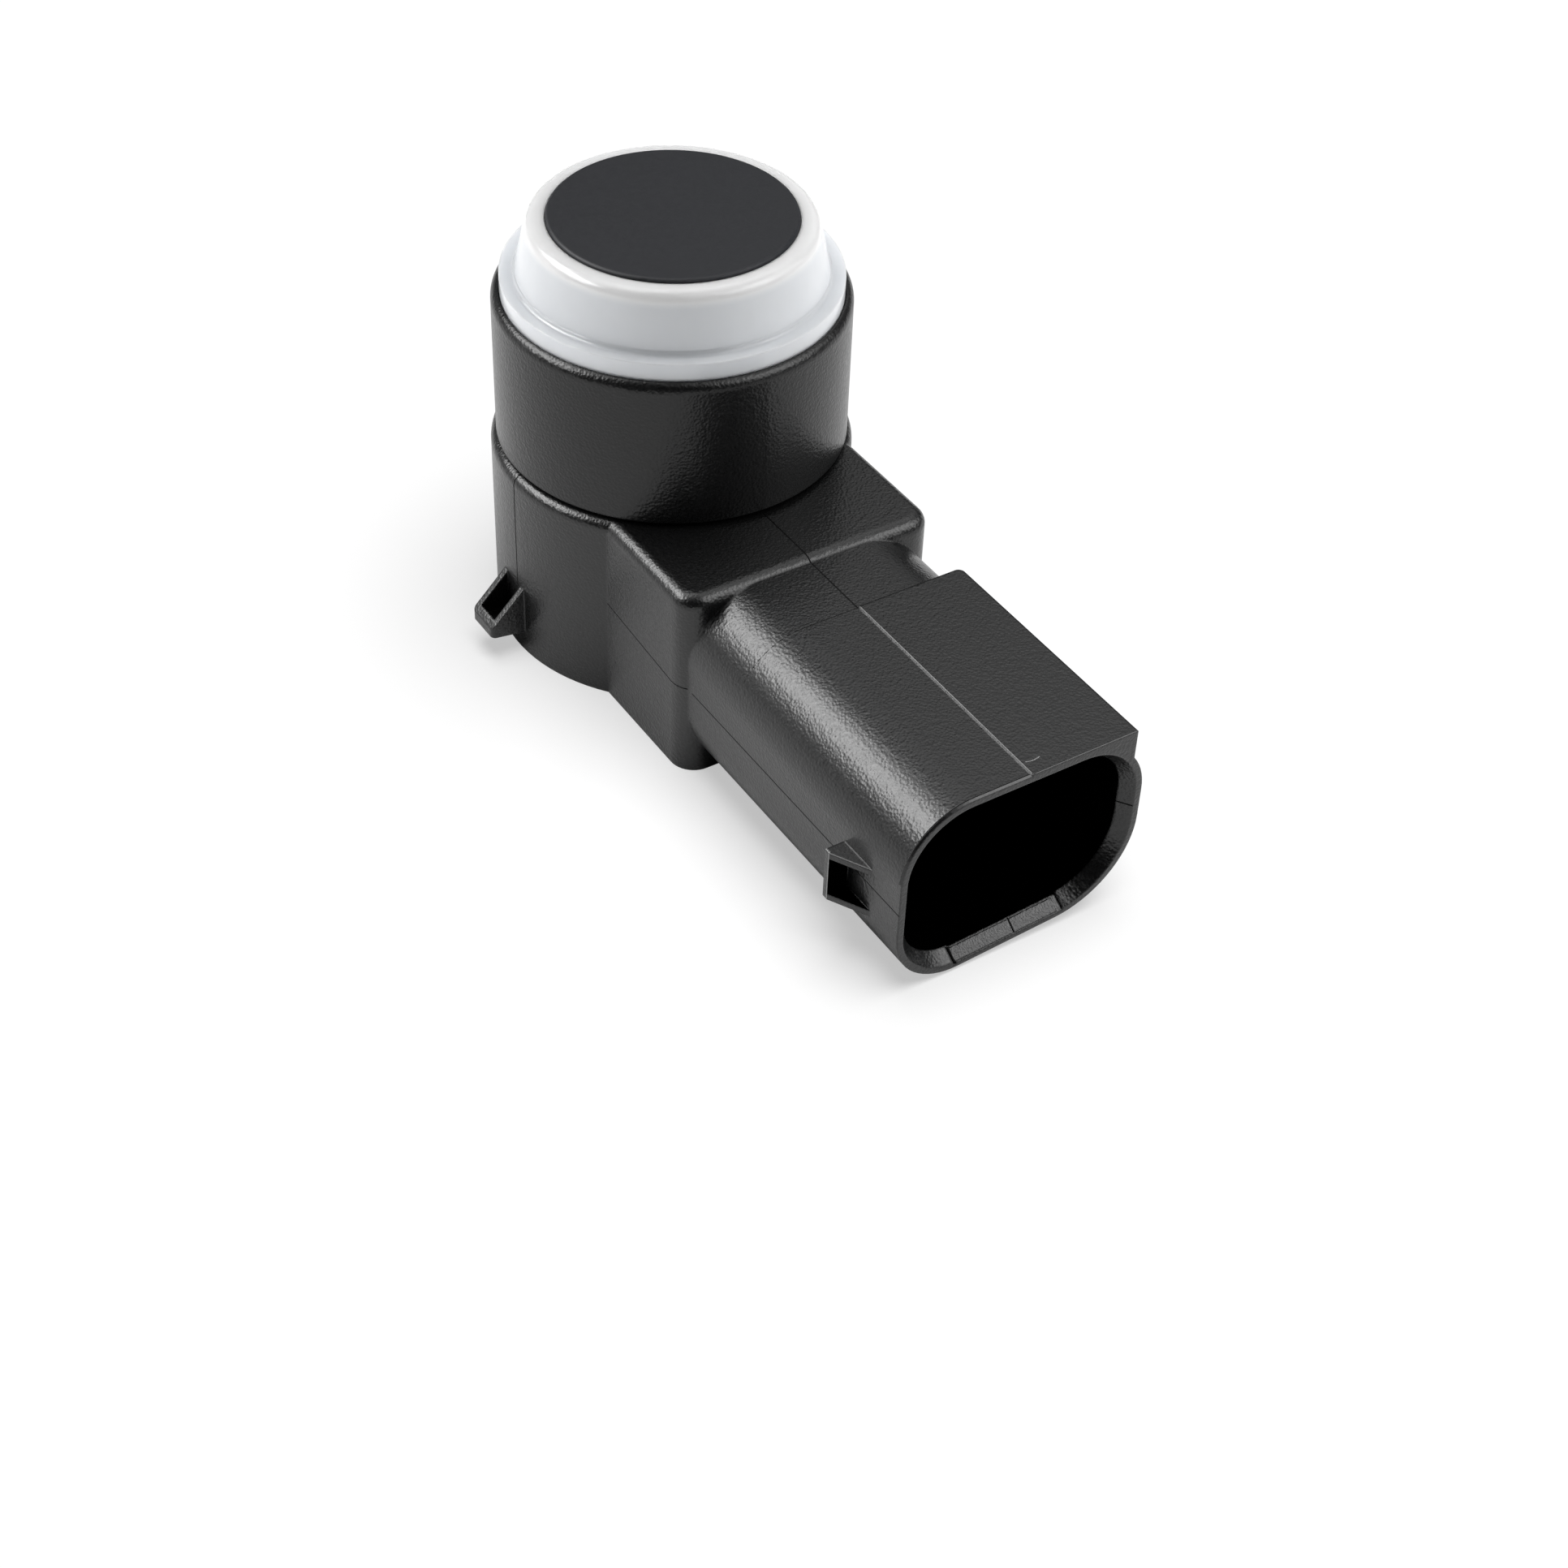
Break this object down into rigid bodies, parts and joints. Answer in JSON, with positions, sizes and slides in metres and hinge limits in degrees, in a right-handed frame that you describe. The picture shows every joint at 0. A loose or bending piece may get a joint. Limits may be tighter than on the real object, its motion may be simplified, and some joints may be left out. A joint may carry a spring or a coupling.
{
  "type": "parking sensor",
  "caption": "Ultrasonic parking sensor with a black moulded housing, a side socket, a milky silicone ring and a dark membrane",
  "frame": {"origin": "on the barrel's axis in the plane of the base, which is the face that the potting closes", "axes": "+Z points out of the membrane along the collar's axis, +X points out of the socket's mouth along the longest extent, +Y points to the key rib's side"},
  "size_m": [0.0589, 0.0324, 0.0334],
  "materials": {
    "black_plastic": "fine leather grain, satin",
    "milky_silicone": "milky, translucent, smooth",
    "black_paint": "satin paint on aluminium",
    "piezo_ceramic": "matt ceramic with silver faces",
    "grey_foam": "open-cell foam",
    "clear_gel": "clear silicone",
    "copper": "bare copper",
    "board_laminate": "green solder mask",
    "tinned_brass": "bright tin plate",
    "ferrite": "sintered, matt",
    "black_resin": "cast or moulded resin, matt",
    "orange_resin": "moulded resin",
    "tan_ceramic": "fired ceramic"
  },
  "bodies": {
    "root": {"housing": "black_plastic", "collar": "black_plastic", "decoupling_ring": "milky_silicone", "membrane_cup": "black_paint", "piezo_disc": "piezo_ceramic", "damping_foam": "grey_foam", "cup_filler": "clear_gel", "piezo_lead_left": "copper", "piezo_lead_right": "copper", "circuit_board": "board_laminate", "terminal_pin_left": "tinned_brass", "terminal_pin_centre": "tinned_brass", "terminal_pin_right": "tinned_brass", "transformer_bobbin": "black_plastic", "transformer_winding": "copper", "transformer_core": "ferrite", "control_chip": "black_resin", "storage_capacitor": "orange_resin", "protection_diode": "black_resin", "ceramic_capacitors": "tan_ceramic", "chip_resistors": "black_resin", "potting_compound": "black_resin"}
  },
  "joints": []
}
